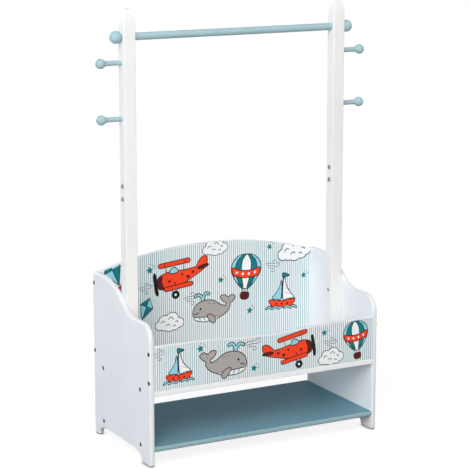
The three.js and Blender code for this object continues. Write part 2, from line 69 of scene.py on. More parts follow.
class Wire:
    """One socket in a node tree. Arithmetic on wires adds Math nodes, and node() adds any other."""

    def __init__(self, tree, socket=None):
        self.tree = tree
        self.socket = socket

    def node(self, kind, settings=None, sockets=None, output=0):
        """Adds a node, first with its settings and then with a value or a wire for each socket."""
        made = self.tree.nodes.new("ShaderNode" + kind)
        for name, value in (settings or {}).items():
            if name == "stops":
                ramp = made.color_ramp.elements
                while len(ramp) < len(value):
                    ramp.new(0.5)
                for stop, (place, colour) in zip(ramp, value):
                    stop.position, stop.color = place, colour
            elif name == "steps":
                made.color_ramp.interpolation = value
            else:
                setattr(made, name, value)
        for name, value in (sockets or {}).items():
            if isinstance(value, Wire):
                self.tree.links.new(value.socket, made.inputs[name])
            else:
                made.inputs[name].default_value = value
        return Wire(self.tree, made.outputs[output]) if made.outputs else None

    def maths(self, operation, first, second):
        return self.node("Math", {"operation": operation}, {0: first, 1: second})

    def __add__(self, other):
        return self.maths("ADD", self, other)

    def __sub__(self, other):
        return self.maths("SUBTRACT", self, other)

    def __rsub__(self, other):
        return self.maths("SUBTRACT", other, self)

    def __mul__(self, other):
        return self.maths("MULTIPLY", self, other)

    __radd__ = __add__
    __rmul__ = __mul__

    def between(self, low, high):
        """0 below low, 1 above high, and smooth between them."""
        limits = {"Value": self, "From Min": low, "From Max": high}
        return self.node("MapRange", {"interpolation_type": "SMOOTHSTEP"}, limits)

    def blend(self, under, over):
        """One colour over another, as far as this wire says."""
        return self.node("Mix", {"data_type": "RGBA"}, {0: self, 6: under, 7: over}, output=2)

    def noise(self, size, detail=2.0):
        """Cloudy variation about as large as size, where this wire is a place in metres."""
        return self.node("TexNoise", {}, {"Vector": self, "Scale": 1000 / size, "Detail": detail})

    def part(self, index):
        return self.node("SeparateXYZ", {}, {0: self}, output=index)


def tint(red, green, blue, strength=1.0):
    """A colour as a screen shows it, from 0 to 255, as the linear colour that a shader takes."""
    linear = [
        ((v / 255 + 0.055) / 1.055) ** 2.4 if v > 10 else v / 255 / 12.92
        for v in (red, green, blue)
    ]
    return (*(v * strength for v in linear), 1.0)


def new_finish(name):
    """An empty material, and a wire to start its nodes from."""
    material = bpy.data.materials.new(name)
    material.use_nodes = True
    material.node_tree.nodes.clear()
    return material, Wire(material.node_tree)


def paint(name, colour, worn, roughness, specular, across=None, edge_colour=None):
    """Sprayed satin paint: a coat of slightly uneven depth, faint orange peel, and thin spots
    along edges. On a board, across is the axis through its thickness, and edge_colour is the
    colour of its edges, set apart from the faces' colour as painted light and shade."""
    material, start = new_finish(name)
    place = start.node("TexCoord", output="Object")
    facing = start.node("TexCoord", output="Normal")
    squares = [facing.part(axis) * facing.part(axis) for axis in range(3)]
    cloud = place.noise(160, 3.0)
    grain = place.noise(2.6, 2.0)
    tone_and_painted_light = cloud.between(0.3, 0.7).blend(tint(*colour, 0.97), tint(*colour, 1.015))
    if across is None:
        rounded = 4 * (squares[0] * squares[1] + squares[1] * squares[2] + squares[2] * squares[0])
    else:
        rounded = 4 * squares[across] * (1 - squares[across])
        # Painted light and shade: a board's edges and faces get different colours
        tone_and_painted_light = squares[across].between(0.2, 0.8).blend(tint(*edge_colour), tone_and_painted_light)
    rub = rounded * place.noise(9, 4.0).between(0.42, 0.72)
    coat = (rub * 0.45).blend(tone_and_painted_light, tint(*worn))
    peel = start.node("Bump", {}, {"Strength": 0.35, "Distance": 0.00003, "Height": grain})
    shader = start.node("BsdfPrincipled", {}, {
        "Base Color": coat,
        "Roughness": roughness + 0.1 * (place.noise(40, 3.0) - 0.5) + 0.06 * rub,
        "Specular IOR Level": specular,
        "Normal": peel,
    })
    start.node("OutputMaterial", {}, {"Surface": shader})
    return material


def shell_mesh(name, shells, inside=0):
    """A closed skin over each shell, which is a list of rings with the same number of points."""
    shape = bmesh.new()
    for rings in shells:
        loops = [[shape.verts.new(Vector(point) * MM) for point in ring] for ring in rings]
        for low, high in zip(loops, loops[1:]):
            for i in range(len(low)):
                shape.faces.new((low[i - 1], low[i], high[i], high[i - 1]))
        shape.faces.new(loops[0])
        shape.faces.new(loops[-1])
    bmesh.ops.remove_doubles(shape, verts=shape.verts, dist=0.00001)
    bmesh.ops.dissolve_degenerate(shape, edges=shape.edges, dist=0.00001)
    bmesh.ops.recalc_face_normals(shape, faces=shape.faces)
    for face in shape.faces:
        face.material_index = inside
    mesh = bpy.data.meshes.new(name)
    shape.to_mesh(mesh)
    shape.free()
    return mesh


def turned(profile, start, sign, y, z, sides=48):
    """Rings of a turned shell about a line across the rack. A profile point is a radius, its
    distance from start towards the side given by sign, and True where the section is a hexagon."""
    rings = []
    for radius, distance, *hexagon in profile:
        x = sign * (start + distance)
        ring = []
        for k in range(sides):
            angle = 2 * math.pi * k / sides
            corner = (angle + math.pi / 6) % (math.pi / 3) - math.pi / 6
            reach = radius / math.cos(corner) if hexagon else radius
            ring.append((x, y + reach * math.cos(angle), z + reach * math.sin(angle)))
        rings.append(ring)
    return rings


def drilled(mesh, holes, inside=0):
    """The mesh with the holes, which are turned shells, cut out of it."""
    cutter = shell_mesh("holes", holes, inside)
    body, tool = (bpy.data.objects.new("drilling", data) for data in (mesh, cutter))
    scene.collection.objects.link(body)
    scene.collection.objects.link(tool)
    cut = body.modifiers.new("drill", "BOOLEAN")
    cut.object, cut.solver, cut.operation = tool, "EXACT", "DIFFERENCE"
    drilled_body = body.evaluated_get(bpy.context.evaluated_depsgraph_get())
    result = bpy.data.meshes.new_from_object(drilled_body)
    bpy.data.objects.remove(body)
    bpy.data.objects.remove(tool)
    return result


def fit(node, mesh, slot, *finishes, sharp=35):
    """Puts a finished mesh in the rack in place of the plain solid of that name."""
    piece = bpy.data.objects.new(node + "_finished", mesh)
    scene.collection.objects.link(piece)
    for finish in finishes:
        mesh.materials.append(finish)
    mesh.shade_smooth()
    mesh.set_sharp_from_angle(angle=math.radians(sharp))
    normals = piece.modifiers.new("even shading", "WEIGHTED_NORMAL")
    normals.keep_sharp = True
    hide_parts(node)
    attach(piece, "root")
    return piece


def arc(y, z, radius_y, radius_z, start, end, steps):
    """Points on an arc in the Y-Z plane, each with the direction that the edge faces there.
    The edge is hollow where the arc runs clockwise."""
    way = 1 if end > start else -1
    points = []
    for k in range(steps + 1):
        angle = math.radians(start + (end - start) * k / steps)
        c, s = math.cos(angle), math.sin(angle)
        facing = Vector((c / radius_y, s / radius_z)).normalized() * way
        points.append((Vector((y + radius_y * c, z + radius_z * s)), facing))
    return points


def side_outline():
    """The side panel's outline, anticlockwise from the front foot."""
    front, rear = -HALF_DEPTH, HALF_DEPTH
    foot, inner_foot, corner, shoulder = 7, 5.5, 8, 42
    arch_front, arch_rear, arch_height, arch_sweep = front + 52, rear - 28, 26, 58
    # The upper edge bends over from the crest and back into the hollow. Both bends turn as far,
    # and the crest has this share of their two radii.
    crest_y, hollow_y, crest_share = rear - 47, front + 83, 0.642
    bend = 2 * math.atan2(REAR_TOP - SHOULDER, crest_y - hollow_y)
    radii = (crest_y - hollow_y) / math.sin(bend)
    crest = crest_share * radii
    hollow = radii - crest
    bend = math.degrees(bend)
    rise = arch_height - inner_foot
    return [
        *arc(front + foot, foot, foot, foot, 180, 270, 8),
        *arc(arch_front - inner_foot, inner_foot, inner_foot, inner_foot, 270, 360, 8),
        *arc(arch_front + arch_sweep, inner_foot, arch_sweep, rise, 180, 90, 24),
        *arc(arch_rear - arch_sweep, inner_foot, arch_sweep, rise, 90, 0, 24),
        *arc(arch_rear + inner_foot, inner_foot, inner_foot, inner_foot, 180, 270, 8),
        *arc(rear - foot, foot, foot, foot, 270, 360, 8),
        *arc(rear - corner, REAR_TOP - corner, corner, corner, 0, 90, 8),
        *arc(crest_y, REAR_TOP - crest, crest, crest, 90, 90 + bend, 24),
        *arc(hollow_y, SHOULDER + hollow, hollow, hollow, bend - 90, -90, 20),
        *arc(front + shoulder, SHOULDER - shoulder, shoulder, shoulder, 90, 180, 20),
    ]


def rounding(radius, steps=6):
    """(inset, depth) pairs of a rounded edge, from the flat face to the edge band."""
    turns = [math.pi / 2 * k / steps for k in range(steps + 1)]
    return [(radius * (1 - math.sin(a)), radius * (1 - math.cos(a))) for a in turns]


def panel_rings(low):
    """Rings of a side panel whose outline is rounded over on both faces."""
    outline = side_outline()
    edge = rounding(PANEL_ROUNDING)
    levels = edge + [(inset, BOARD - depth) for inset, depth in reversed(edge)]
    return [
        [(low + depth, *(point - facing * inset)) for point, facing in outline]
        for inset, depth in levels
    ]


# Depth and height of the screws into each board's ends
BOARD_SCREWS = {
    "back_panel": {"lower": (152, 212), "upper": (152, 383)},
    "front_panel": {"lower": (-152, 204), "upper": (-152, 273.5)},
    "box_floor": {"front": (-104.5, 177.5), "rear": (104.5, 177.5)},
    "bottom_shelf": {"front": (-104.5, 42), "rear": (104.5, 42)},
}
POST_Y = 5  # middle of the posts
POST_SCREWS = {"lower": 216, "upper": 330}  # heights
SCREW_START = PANEL_OUTER - 50  # tip of a panel screw, from the rack's middle
POST_SCREW_START = -309  # tip of a post screw, measured from the middle towards the other side
# Hole profiles: radius and distance from the screw's tip, with a countersink at the end
SCREW_HOLE = [(3.8, -0.3), (3.8, 46.9), (5.55, 48.7), (5.55, 49.6), (6.3, 50.3), (6.3, 52)]
POST_SCREW_HOLE = [(2.8, -0.3), (2.8, 36.3), (5.55, 38.9), (5.55, 39.7), (6.1, 40.2), (6.1, 42)]


def board_holes(board, sides):
    return [
        turned(SCREW_HOLE, SCREW_START, sign, y, z)
        for sign in sides for y, z in BOARD_SCREWS[board].values()
    ]


def post_screw_holes(sign):
    return [
        turned(POST_SCREW_HOLE, POST_SCREW_START, -sign, POST_Y, z) for z in POST_SCREWS.values()
    ]


# The panels' edges get a white a little darker and less blue than their faces: painted shade.
white_paint = paint(
    "white_satin_paint", WHITE, WORN_WHITE, roughness=0.42, specular=0.3,
    across=0, edge_colour=(236, 238, 237),
)
SIDES = {"left": -1, "right": 1}
for side, sign in SIDES.items():
    low_x = min(sign * HALF_WIDTH, sign * PANEL_OUTER)
    panel = shell_mesh(side + "_side_panel", [panel_rings(low_x)])
    holes = [hole for board in BOARD_SCREWS for hole in board_holes(board, [sign])]
    panel = drilled(panel, holes + post_screw_holes(sign))
    fit(side + "_side_panel", panel, "white_paint", white_paint)


# Bottom shelf
# One fibreboard level across the rack just above the floor, painted grey blue, with its front
# edge rounded over. Two screws through each side panel hold it.
SHELF_UNDERSIDE = 35.5
SHELF_ROUNDING = 4.6  # along the front edge
LEVEL_EASE = 1.5  # rounding of the other long edges


def plank(node, underside, front_rounding, rear_rounding):
    """A level board across the rack with rounded long edges, drilled at its ends."""
    low, high = -HALF_DEPTH, HALF_DEPTH
    corners = [
        (low, underside, front_rounding, 180), (high, underside, rear_rounding, 270),
        (high, underside + BOARD, rear_rounding, 0), (low, underside + BOARD, front_rounding, 90),
    ]
    section = []
    for y, z, radius, start in corners:
        centre_y = y + radius if y == low else y - radius
        centre_z = z + radius if z == underside else z - radius
        turn = arc(centre_y, centre_z, radius, radius, start, start + 90, 6)
        section += [point for point, _ in turn]
    ends = [[(x, *point) for point in section] for x in (-HALF_WIDTH, HALF_WIDTH)]
    return drilled(shell_mesh(node, [ends]), board_holes(node, SIDES.values()))


# The shelf's top and underside get a darker blue than its edges: painted shade for the shadow under
# the box floor. The edges' blue is the paint's own colour.
blue_paint = paint(
    "blue_satin_paint_with_painted_shade", (113, 151, 166), (182, 203, 207), roughness=0.5, specular=0.04,
    across=2, edge_colour=(153, 182, 188),
)
shelf = plank("bottom_shelf", SHELF_UNDERSIDE, SHELF_ROUNDING, LEVEL_EASE)
fit("bottom_shelf", shelf, "blue_paint", blue_paint)


# Box floor
# The toy box stands on a second level, painted white like the side panels. Its front edge shows
# as a pale band under the printed front panel, made paler with painted light.
FLOOR_TOP = 184
# The box floor's edges get a lighter white than its faces: painted light.
white_level_paint_lit_edge = paint(
    "white_level_paint_lit_edge", WHITE, WORN_WHITE, roughness=0.42, specular=0.3,
    across=2, edge_colour=(249, 248, 248),
)
box_floor = plank("box_floor", FLOOR_TOP - BOARD, LEVEL_EASE, LEVEL_EASE)
fit("box_floor", box_floor, "white_paint", white_level_paint_lit_edge)


# Back panel
# A fibreboard panel with an arched top, standing on the box floor and painted white behind. Its
# front is printed foil under lacquer: uneven pale pinstripes and a child's picture-book figures.
TOP_ROUNDING = 1.3
LOW_EASE = 1.0  # rounding of the lower edge
BACK_TOP = 453.5  # top of the arch at the rack's middle
BACK_ENDS = 409  # height of the arch's ends
TEAL = tint(6, 124, 130)
RED = tint(253, 68, 30)
MAROON = tint(98, 22, 16)
GREY = tint(176, 169, 163)
PALE = tint(150, 214, 226)
CLEAR = tint(248, 249, 249)
BLACK = tint(20, 17, 17)
PEN = tint(22, 18, 19)
PEN_WIDTH = 2.4
GROUND = tint(216, 231, 233)
LIGHT_STRIPE = tint(254, 255, 254)
DARK_STRIPE = tint(140, 168, 174)
STRIPE = 5.7  # from one pinstripe to the next


def flowing(points, closed=True, steps=5):
    """A smooth line through the points."""
    count = len(points)
    line = []
    for i in range(count if closed else count - 1):
        near = [i + k - 1 for k in range(4)]
        spots = [s % count if closed else min(max(s, 0), count - 1) for s in near]
        a, b, c, d = (Vector(points[s]) for s in spots)
        for k in range(steps):
            t = k / steps
            curve = 2 * b + (c - a) * t + (2 * a - 5 * b + 4 * c - d) * t**2
            line.append((curve + (3 * b - a - 3 * c + d) * t**3) / 2)
    return line if closed else line + [Vector(points[-1])]


def swung(points, x, y, turn):
    """The points turned by an angle in degrees, and then moved to (x, y)."""
    c, s = math.cos(math.radians(turn)), math.sin(math.radians(turn))
    return [Vector((x + u * c - v * s, y + u * s + v * c)) for u, v in points]


def oval(x, y, wide, high, turn=0, count=22):
    angles = [2 * math.pi * k / count for k in range(count)]
    return swung([(wide * math.cos(a), high * math.sin(a)) for a in angles], x, y, turn)


def bar(x, y, wide, high, turn=0):
    """A bar with round ends."""
    points = []
    for shift, start in [(wide / 2 - high / 2, -90), (high / 2 - wide / 2, 90)]:
        for k in range(9):
            angle = math.radians(start + 180 * k / 8)
            points.append((shift + high / 2 * math.cos(angle), high / 2 * math.sin(angle)))
    return swung(points, x, y, turn)


def stroke(points, width, steps=5):
    """A pen line along a smooth path, thinner towards its ends."""
    line = flowing(points, False, steps)
    last = len(line) - 1
    left, right = [], []
    for i, point in enumerate(line):
        along = (line[min(i + 1, last)] - line[max(i - 1, 0)]).normalized()
        reach = width / 2 * min(1, 0.45 + 1.4 * min(i, last - i) / steps)
        left.append(point + Vector((-along.y, along.x)) * reach)
        right.append(point - Vector((-along.y, along.x)) * reach)
    return right + left[::-1]


def anticlockwise(outline):
    area = sum(a.cross(b) for a, b in zip(outline, outline[1:] + outline[:1]))
    return outline if area > 0 else outline[::-1]


def grown(outline, by):
    """The outline moved outwards."""
    outline = anticlockwise([Vector(p) for p in outline])
    result = []
    for before, here, after in zip(outline[-1:] + outline, outline, outline[1:] + outline[:1]):
        one, two = (here - before).normalized(), (after - here).normalized()
        square = Vector((one.y + two.y, -one.x - two.x)).normalized()
        lean = max(0.5, square.dot(Vector((one.y, -one.x))))
        result.append(here + square * by / lean)
    return result


def lined(*shapes):
    """Filled shapes with one pen line around them all."""
    return [(PEN, grown(outline, PEN_WIDTH)) for _, outline in shapes] + list(shapes)


def pen(*paths, width=PEN_WIDTH):
    return [(PEN, stroke(path, width)) for path in paths]


def placed(figure, x, z, size=1.0, turn=0, flip=False):
    """A figure moved to its place on the board, in the board's own millimetres."""
    c, s = math.cos(math.radians(turn)) * size, math.sin(math.radians(turn)) * size
    way = -1 if flip else 1
    shapes = []
    for ink, outline in figure:
        spots = [Vector((x + way * u * c - v * s, z + way * u * s + v * c)) for u, v in outline]
        shapes.append((ink, anticlockwise(spots)))
    return shapes


def scattered(figure, *places):
    """The same small figure at several places, each with its x, z, size and turn."""
    return [shape for place in places for shape in placed(figure, *place)]


def biplane():
    hull = [
        (60, 12), (66, -3), (60, -17), (34, -22), (-8, -19), (-44, -7), (-72, 4), (-76, 10),
        (-58, 14), (-22, 15), (20, 20), (42, 19),
    ]
    fin = [(-52, 10), (-66, 12), (-82, 12), (-88, 32), (-79, 37), (-66, 30)]
    cowl = [(48, 17), (60, 12), (66, -3), (60, -17), (48, -20), (52, -2)]
    window = [(2, 16), (8, 29), (19, 27), (24, 18)]
    spots = [
        (-42, 4, 4.4), (-26, -5, 5.4), (-10, 6, 3.6), (-58, 8, 2.6), (30, -4, 4.4),
        (14, -12, 3),
    ]
    return [
        *pen([(-20, 36), (-14, 0), (-12, -26)], [(34, 38), (36, 0), (34, -24)], width=2.2),
        *pen([(8, -26), (16, -42)], [(28, -26), (20, -42)], width=2.6),
        *lined((BLACK, oval(18, -44, 9, 9))), (CLEAR, oval(18, -44, 3.4, 3.4)),
        *lined((RED, flowing(fin)), (RED, flowing(hull))),
        (MAROON, flowing(cowl)),
        *pen([(48, 17), (52, -2), (48, -20)]),
        *[(MAROON, oval(x, y, r, r * 0.86, 20, 14)) for x, y, r in spots],
        *lined((PALE, flowing(window))),
        *lined((MAROON, oval(-74, 11, 15, 3.4, -4))),
        *lined((RED, bar(8, 41, 92, 10, 3))), *pen([(-22, 41), (-24, 37)], [(38, 45), (37, 41)]),
        *lined((RED, bar(6, -24, 84, 9, 2))),
        *lined((BLACK, oval(70, 13, 3, 14, 4))), *lined((BLACK, oval(71, -18, 3, 14, -4))),
        *lined((BLACK, oval(69, -3, 5, 6))),
    ]


def balloon():
    bag = [
        (0, 60), (24, 55), (40, 38), (42, 16), (29, -8), (10, -28), (-10, -28), (-29, -8),
        (-42, 16), (-40, 38), (-24, 55),
    ]
    side_gore = [
        (16, 57), (29, 40), (32, 15), (22, -10), (8, -28), (14, -21), (29, -8), (42, 16),
        (40, 38), (24, 55),
    ]
    middle = [
        (0, 59), (10, 48), (14, 22), (11, -6), (5, -28), (-5, -28), (-11, -6), (-14, 22),
        (-10, 48),
    ]
    band = [
        (-40, 24), (-20, 18), (0, 16), (20, 18), (40, 24), (36, 6), (19, 1), (0, -1),
        (-19, 1), (-36, 6),
    ]
    dots = [(-27, 12), (-9, 8.5), (9, 8.5), (27, 12)]
    ropes = [[(-9, -28), (-7, -44)], [(9, -28), (7, -44)], [(0, -28), (0, -44)]]
    return [
        *pen(*ropes),
        *lined((TEAL, flowing(bag))),
        (PALE, flowing(side_gore)), (PALE, [Vector((-x, y)) for x, y in flowing(side_gore)]),
        (CLEAR, flowing(middle)),
        *pen(
            [(4, 59), (13, 42), (14, 18), (10, -8), (5, -27)],
            [(-4, 59), (-13, 42), (-14, 18), (-10, -8), (-5, -27)],
            [(14, 57), (28, 42), (32, 16), (22, -10), (8, -27)],
            [(-14, 57), (-28, 42), (-32, 16), (-22, -10), (-8, -27)],
        ),
        *lined((RED, flowing(band))),
        *[(CLEAR, oval(x, y, 3.4, 3.4, 0, 14)) for x, y in dots],
        *lined((MAROON, flowing([(-10, -43), (10, -43), (8.5, -57), (-8.5, -57)], steps=6))),
        *pen([(-10, -47), (0, -48.5), (10, -47)], width=1.0),
    ]


def whale():
    body = [
        (-58, -2), (-50, 19), (-26, 30), (4, 27), (26, 12), (42, 5), (54, 4), (50, -8),
        (34, -18), (8, -26), (-24, -28), (-50, -20),
    ]
    tail = [
        (44, 4), (46, 14), (36, 22), (30, 34), (42, 36), (53, 28), (64, 33), (74, 26),
        (66, 16), (57, 11), (55, 0),
    ]
    belly = [
        (-57, -11), (-40, -14), (-14, -17), (10, -20), (16, -23), (8, -26), (-24, -28),
        (-48, -21),
    ]
    fin = [(-14, -12), (-1, -14), (10, -27), (4, -36), (-8, -27)]
    jets = [
        [(-27, 30), (-29, 42), (-38, 50), (-50, 46)],
        [(-25, 30), (-23, 43), (-15, 51), (-4, 47)],
    ]
    return [
        *lined(*[(PALE, stroke(jet, 5.5)) for jet in jets]),
        *lined((GREY, flowing(tail)), (GREY, flowing(body))),
        (CLEAR, flowing(belly)),
        *pen(
            [(-57, -11), (-40, -14), (-14, -17), (14, -21)],
            [(-40, -16), (-36, -24)], [(-26, -18), (-22, -26)],
        ),
        *pen([(-56, -4), (-46, -3), (-38, 3)]),
        *lined((GREY, flowing(fin))),
        (BLACK, oval(-35, 9, 2.8, 3.4)), (PALE, oval(-42, 2.5, 2.6, 1.8)),
        *pen([(-10, 22), (-2, 20)], [(4, 20), (11, 16)], [(52, 24), (55, 16)], width=1.1),
    ]


def cloud():
    puffs = [
        (-34, -8, 15), (-18, 7, 18), (9, 12, 21), (33, -2, 16), (0, -9, 20), (-18, -11, 14),
        (20, -11, 14),
    ]
    curls = [
        [(-30, -2), (-24, 6), (-15, 4)], [(-4, 10), (2, 17), (11, 15), (13, 8)],
        [(20, 2), (27, 4), (31, -2)], [(-12, -10), (-5, -5), (3, -9)],
        [(12, -12), (18, -9), (23, -13)],
    ]
    return [*lined(*[(CLEAR, oval(x, y, r, r * 0.92, 0, 26)) for x, y, r in puffs]), *pen(*curls)]


def kite():
    tip, right, foot, left, middle = (0, 40), (25, 10), (0, -36), (-25, 10), (0, 10)
    panes = [
        (TEAL, (tip, left, middle)), (PALE, (tip, middle, right)),
        (PALE, (left, foot, middle)), (TEAL, (middle, foot, right)),
    ]
    tail = [(0, -36), (7, -48), (-3, -60), (6, -74), (0, -84)]
    bows = [(3, -47, 20), (1, -61, -24), (4, -75, 16)]
    figure = pen(tail)
    for x, y, turn in bows:
        for way in (-1, 1):
            figure += lined((RED, oval(x + way * 5.5, y + way * 1.2, 5, 3.2, turn, 14)))
    whole = [Vector(p) for p in (left, foot, right, tip)]
    figure += lined((TEAL, whole))
    figure += [(ink, [Vector(p) for p in corners]) for ink, corners in panes]
    return figure + pen([tip, foot], [left, middle, right])


def sailboat():
    hull = [
        (-40, -18), (-14, -21), (14, -21), (42, -17), (34, -32), (22, -38), (-20, -38),
        (-33, -32),
    ]
    main = [(4, 44), (12, 22), (25, 2), (38, -12), (20, -14), (4, -13)]
    jib = [(-4, 34), (-9, 18), (-19, 2), (-31, -12), (-18, -14), (-4, -13)]
    flag = [(0, 58), (10, 56), (19, 52), (9, 49), (0, 48)]
    waves = [
        [(-50, -42), (-40, -37), (-30, -42), (-20, -37), (-10, -42), (0, -37)],
        [(8, -42), (18, -37), (28, -42), (38, -37), (48, -42)],
    ]
    return [
        *pen([(0, 58), (0, -20)], width=2.4),
        *lined((TEAL, flowing(flag, steps=4))),
        *lined((CLEAR, flowing(main))), *lined((PALE, flowing(jib))),
        *pen([(8, 20), (22, 6)], [(8, 4), (30, -4)], width=1.0),
        *lined((RED, flowing(hull))),
        *[(MAROON, oval(x, -29, 3.2, 3.2, 0, 14)) for x in (-18, 0, 18)],
        *lined(*[(PALE, stroke(wave, 3.4)) for wave in waves]),
    ]


def star():
    """A five-pointed star with three small dots beside it."""
    dots = [(12, 10), (16, 3), (5, 15)]
    points = []
    for k in range(10):
        reach = 11 if k % 2 == 0 else 5.3
        angle = math.radians(90 + 36 * k)
        points.append(Vector((reach * math.cos(angle), reach * math.sin(angle))))
    return [(TEAL, points), *[(PEN, oval(x, y, 1.5, 1.5, 0, 10)) for x, y in dots]]


def breeze():
    """Three curls of wind."""
    curls = [
        [(-26, 6), (-10, 9), (6, 8), (14, 13), (10, 20), (2, 18), (4, 13)],
        [(-22, 0), (-4, 1), (14, -1), (25, 3), (26, 11), (19, 12), (18, 6)],
        [(-16, -6), (0, -7), (10, -11), (9, -18), (1, -18), (2, -12)],
    ]
    return pen(*curls, width=1.5)


def pinstripe_print(name):
    """Printed foil: uneven stripes, the figures' inks over them, and a satin lacquer."""
    material, start = new_finish(name)
    place = start.node("TexCoord", output="Object")
    across = place.part(0) * (1000 / STRIPE)
    number = across.maths("FLOOR", across, 0.0)
    stripe = start.node("ValToRGB", {"steps": "CONSTANT", "stops": [
        (0.0, LIGHT_STRIPE), (0.34, GROUND), (0.54, DARK_STRIPE), (0.82, GROUND),
    ]}, {0: across - number})
    fainter = 0.35 * start.node("TexWhiteNoise", {"noise_dimensions": "1D"}, {"W": number})
    stripes = fainter.blend(stripe, GROUND)
    ink = start.node("Attribute", {"attribute_name": "ink"}, output="Color")
    inked = start.node("Attribute", {"attribute_name": "ink"}, output="Alpha")
    dots = place.noise(1.1, 1.0).between(0.35, 0.65)
    print_colour = inked.blend(stripes, ink)
    faded = (0.02 * dots).blend(print_colour, tint(225, 226, 222))
    ripple = {"Strength": 0.3, "Distance": 0.00002, "Height": place.noise(3.2)}
    lacquer = start.node("Bump", {}, ripple)
    shader = start.node("BsdfPrincipled", {}, {
        "Base Color": faded,
        "Roughness": 0.4 + 0.12 * (place.noise(30, 3.0) - 0.5) - 0.04 * inked,
        "Specular IOR Level": 0.1,
        "Normal": lacquer,
    })
    start.node("OutputMaterial", {}, {"Surface": shader})
    return material


def printed_board(node, front, low, top, stations, figures):
    """A board whose flat front is divided along the outlines of the printed figures. top(x, inset)
    is the height of its upper edge, and stations are the places across where it is worked out."""
    flat = [Vector((-HALF_WIDTH, low + LOW_EASE)), Vector((HALF_WIDTH, low + LOW_EASE))]
    flat += [Vector((x, top(x, TOP_ROUNDING))) for x in stations]
    points, outlines = list(flat), [list(range(len(flat)))]
    for _, outline in figures:
        outlines.append(list(range(len(points), len(points) + len(outline))))
        points += outline
    spots, _, cells, _, _, owners = delaunay_2d_cdt(points, [], outlines, 1, 1e-4, True)
    shape = bmesh.new()
    ink = shape.loops.layers.float_color.new("ink")
    corners = {}
    for cell, owner in zip(cells, owners):
        if 0 not in owner:
            continue
        for i in cell:
            if i not in corners:
                corners[i] = shape.verts.new((spots[i].x, front, spots[i].y))
        face = shape.faces.new([corners[i] for i in cell])
        colour = figures[max(owner) - 1][0] if max(owner) else (0, 0, 0, 0)
        for loop in face.loops:
            loop[ink] = colour
    # The front's rim, corner by corner, is carried back over the rounded edges to the rear face
    rim = {edge.link_loops[0].vert: edge for edge in shape.edges if edge.is_boundary}
    loop = [next(iter(rim))]
    while len(loop) < len(rim):
        loop.append(rim[loop[-1]].other_vert(loop[-1]))
    base = [vert.co.copy() for vert in loop]
    steps = list(zip(rounding(TOP_ROUNDING), rounding(LOW_EASE)))
    levels = [(*step, False) for step in steps[1:]] + [(*step, True) for step in reversed(steps)]
    for (inset, depth), (low_inset, low_depth), behind in levels:
        ring = []
        for spot in base:
            z, back = spot.z, low_depth
            if abs(spot.z - top(spot.x, TOP_ROUNDING)) < 0.01:
                z, back = top(spot.x, inset), depth
            elif spot.z < low + LOW_EASE + 0.01:
                z = low + low_inset
            ring.append(shape.verts.new((spot.x, front + (BOARD - back if behind else back), z)))
        for i in range(len(loop)):
            shape.faces.new((loop[i - 1], loop[i], ring[i], ring[i - 1])).material_index = 1
        loop = ring
    shape.faces.new(loop).material_index = 1
    for vert in shape.verts:
        vert.co *= MM
    bmesh.ops.recalc_face_normals(shape, faces=shape.faces)
    mesh = bpy.data.meshes.new(node)
    shape.to_mesh(mesh)
    shape.free()
    return drilled(mesh, board_holes(node, SIDES.values()), inside=1)


def arch_top(x, inset):
    rise = BACK_TOP - BACK_ENDS
    radius = (HALF_WIDTH**2 + rise**2) / (2 * rise)
    return BACK_TOP - radius + math.sqrt((radius - inset) ** 2 - x**2)


printed_foil = pinstripe_print("printed_foil")
# The boards' edges get a slightly lighter white than their rear faces: painted light.
board_paint = paint(
    "white_board_paint", WHITE, (206, 206, 202), roughness=0.42, specular=0.2,
    across=1, edge_colour=(241, 243, 244),
)
back_print = [
    *placed(cloud(), 252, 408, 1.0, 3),
    *placed(biplane(), -82, 372, 0.95, 9, True),
    *placed(balloon(), 108, 352, 0.98, -4),
    *placed(whale(), 10, 276, 0.92, 3),
    *placed(sailboat(), 216, 296, 0.92, -3),
    *placed(kite(), -262, 402, 0.9, 24),
    *placed(kite(), -176, 300, 0.72, -22),
    *placed(cloud(), 20, 438, 0.72, 0),
    *placed(cloud(), -110, 258, 0.8, -2),
    *scattered(
        star(), (-164, 398, 0.95, 8), (36, 352, 0.85, -14), (178, 424, 0.8, 20),
        (120, 262, 0.9, -6), (280, 338, 0.85, 12),
    ),
    *scattered(breeze(), (186, 372, 0.8, -8), (-50, 312, 0.8, 6), (-178, 352, 0.7, 4)),
]
STATIONS = [HALF_WIDTH - 2 * HALF_WIDTH * k / 72 for k in range(73)]
back_panel = printed_board(
    "back_panel", HALF_DEPTH - BOARD, FLOOR_TOP, arch_top, STATIONS, back_print
)
fit("back_panel", back_panel, "printed_board", printed_foil, board_paint)


# Front panel
# The low front of the toy box, flush with the side panels' front edges. It is printed like the
# back panel, and its white top edge dips to the middle.
FRONT_TOP = FLOOR_TOP + 107  # height of its ends
DIP, DIP_LENGTH = 9.2, 430


def dipped_top(x, inset):
    """Level at the ends, then a bend over and a bend back of the same radius."""
    bend = 2 * math.atan2(DIP, DIP_LENGTH / 2)
    radius = DIP_LENGTH / 4 / math.sin(bend)
    away = abs(x)
    if away > DIP_LENGTH / 2:
        return FRONT_TOP - inset
    if away > (radius + inset) * math.sin(bend):
        return FRONT_TOP - radius + math.sqrt((radius - inset) ** 2 - (DIP_LENGTH / 2 - away) ** 2)
    return FRONT_TOP - DIP + radius - math.sqrt((radius + inset) ** 2 - away**2)


